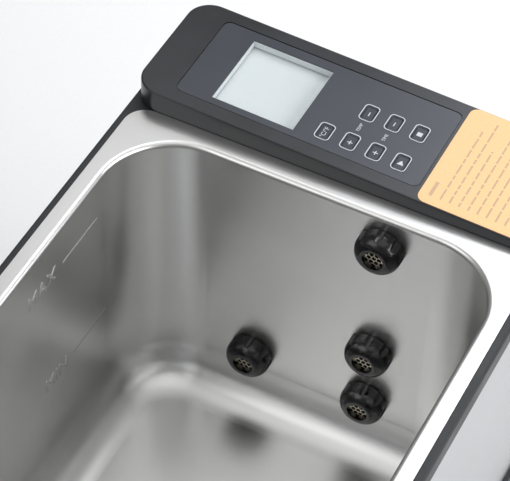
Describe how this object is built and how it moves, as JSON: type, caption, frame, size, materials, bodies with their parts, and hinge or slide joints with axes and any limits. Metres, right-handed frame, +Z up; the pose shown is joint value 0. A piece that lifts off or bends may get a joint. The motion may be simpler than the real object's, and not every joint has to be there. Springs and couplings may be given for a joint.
{
  "type": "sous vide water bath",
  "caption": "Rectangular stainless water bath with a sloping control panel at one end, an internal circulation pump and pull-off filter caps inside the tank.",
  "frame": {"origin": "on the floor under the middle of the bath", "axes": "+X along the bath from the tank to the control end, -Y towards the user, +Z up"},
  "size_m": [0.449, 0.2504, 0.254],
  "materials": {
    "drawn_steel": "satin drawn stainless steel",
    "casing_steel": "satin stainless sheet",
    "frame_abs": "fine-textured moulded ABS",
    "housing_abs": "satin moulded ABS",
    "key_film": "printed polyester film",
    "key_cap": "satin key caps",
    "notes_paper": "orange coated paper label",
    "window_glass": "clear pane",
    "display": "unlit liquid crystal display",
    "board": "glass-epoxy board",
    "switch": "tact switch",
    "cap_abs": "glossy black moulding",
    "mesh_steel": "etched stainless mesh",
    "silicone": "silicone rubber",
    "foot_rubber": "black rubber",
    "pipe_pom": "white acetal",
    "pump_pps": "glass-filled black plastic",
    "iron": "laminated iron and windings",
    "zinc": "zinc-plated steel",
    "heater_alu": "cast aluminium",
    "foam": "closed-cell foam",
    "brass": "brass"
  },
  "bodies": {
    "bath": {"base_tray": "frame_abs", "carry_handle_left": "frame_abs", "carry_handle_right": "frame_abs", "casing": "casing_steel", "control_board": "board", "control_housing": "housing_abs", "control_overlay": "key_film", "fan_frame": "switch", "foot_screws": "zinc", "heater_plate": "heater_alu", "hose_clamps": "zinc", "housing_screws": "zinc", "inlet_pins": "brass", "lcd_module": "display", "lcd_window": "window_glass", "notes_label": "notes_paper", "port_elbow_front": "pipe_pom", "port_elbow_rear": "pipe_pom", "port_elbow_top": "pipe_pom", "port_gaskets": "silicone", "port_nuts": "pipe_pom", "port_sockets": "pump_pps", "port_tee_middle": "pipe_pom", "power_board": "board", "power_inlet": "switch", "pump_can": "pump_pps", "pump_housing": "pump_pps", "pump_inlet_hose": "silicone", "pump_shaft": "zinc", "pump_stator": "iron", "return_hose_lower": "silicone", "return_hose_upper": "silicone", "rim_gasket": "silicone", "rubber_feet": "foot_rubber", "suction_hoses": "silicone", "suction_tee": "pipe_pom", "tact_switches": "switch", "tank": "drawn_steel", "tank_insulation": "foam", "temperature_sensor": "brass", "thermal_cutout": "switch", "tie_rods": "zinc", "top_frame": "frame_abs"},
    "key_unit_body": {"key_unit": "key_cap"},
    "key_temp_up_body": {"key_temp_up": "key_cap"},
    "key_temp_down_body": {"key_temp_down": "key_cap"},
    "key_time_up_body": {"key_time_up": "key_cap"},
    "key_time_down_body": {"key_time_down": "key_cap"},
    "key_start_body": {"key_start": "key_cap"},
    "key_stop_body": {"key_stop": "key_cap"},
    "filter_low_front": {"filter_cap_low_front": "cap_abs", "filter_mesh_low_front": "mesh_steel"},
    "filter_low_rear": {"filter_cap_low_rear": "cap_abs", "filter_mesh_low_rear": "mesh_steel"},
    "filter_middle": {"filter_cap_middle": "cap_abs", "filter_mesh_middle": "mesh_steel"},
    "filter_top": {"filter_cap_top": "cap_abs", "filter_mesh_top": "mesh_steel"},
    "pump_rotor_body": {"pump_rotor": "pump_pps"},
    "fan_rotor_body": {"fan_rotor": "switch"}
  },
  "joints": [
    {"name": "key_unit_press", "type": "slide", "parent": "bath", "child": "key_unit_body", "axis": [0, 0.0349, -0.9994], "range_m": [0, 0.0006], "stiffness_N_per_m": 2500},
    {"name": "key_temp_up_press", "type": "slide", "parent": "bath", "child": "key_temp_up_body", "axis": [0, 0.0349, -0.9994], "range_m": [0, 0.0006], "stiffness_N_per_m": 2500},
    {"name": "key_temp_down_press", "type": "slide", "parent": "bath", "child": "key_temp_down_body", "axis": [0, 0.0349, -0.9994], "range_m": [0, 0.0006], "stiffness_N_per_m": 2500},
    {"name": "key_time_up_press", "type": "slide", "parent": "bath", "child": "key_time_up_body", "axis": [0, 0.0349, -0.9994], "range_m": [0, 0.0006], "stiffness_N_per_m": 2500},
    {"name": "key_time_down_press", "type": "slide", "parent": "bath", "child": "key_time_down_body", "axis": [0, 0.0349, -0.9994], "range_m": [0, 0.0006], "stiffness_N_per_m": 2500},
    {"name": "key_start_press", "type": "slide", "parent": "bath", "child": "key_start_body", "axis": [0, 0.0349, -0.9994], "range_m": [0, 0.0006], "stiffness_N_per_m": 2500},
    {"name": "key_stop_press", "type": "slide", "parent": "bath", "child": "key_stop_body", "axis": [0, 0.0349, -0.9994], "range_m": [0, 0.0006], "stiffness_N_per_m": 2500},
    {"name": "filter_low_front_pull", "type": "slide", "parent": "bath", "child": "filter_low_front", "axis": [-1, 0, 0], "range_m": [0, 0.03]},
    {"name": "filter_low_rear_pull", "type": "slide", "parent": "bath", "child": "filter_low_rear", "axis": [-1, 0, 0], "range_m": [0, 0.03]},
    {"name": "filter_middle_pull", "type": "slide", "parent": "bath", "child": "filter_middle", "axis": [-1, 0, 0], "range_m": [0, 0.03]},
    {"name": "filter_top_pull", "type": "slide", "parent": "bath", "child": "filter_top", "axis": [-1, 0, 0], "range_m": [0, 0.03]},
    {"name": "pump_spin", "type": "hinge", "parent": "bath", "child": "pump_rotor_body", "pos_m": [0.14, 0, 0.05], "axis": [0, 0, 1], "continuous": true},
    {"name": "fan_spin", "type": "hinge", "parent": "bath", "child": "fan_rotor_body", "pos_m": [0.16, 0.116, 0.14], "axis": [0, 1, 0], "continuous": true}
  ]
}
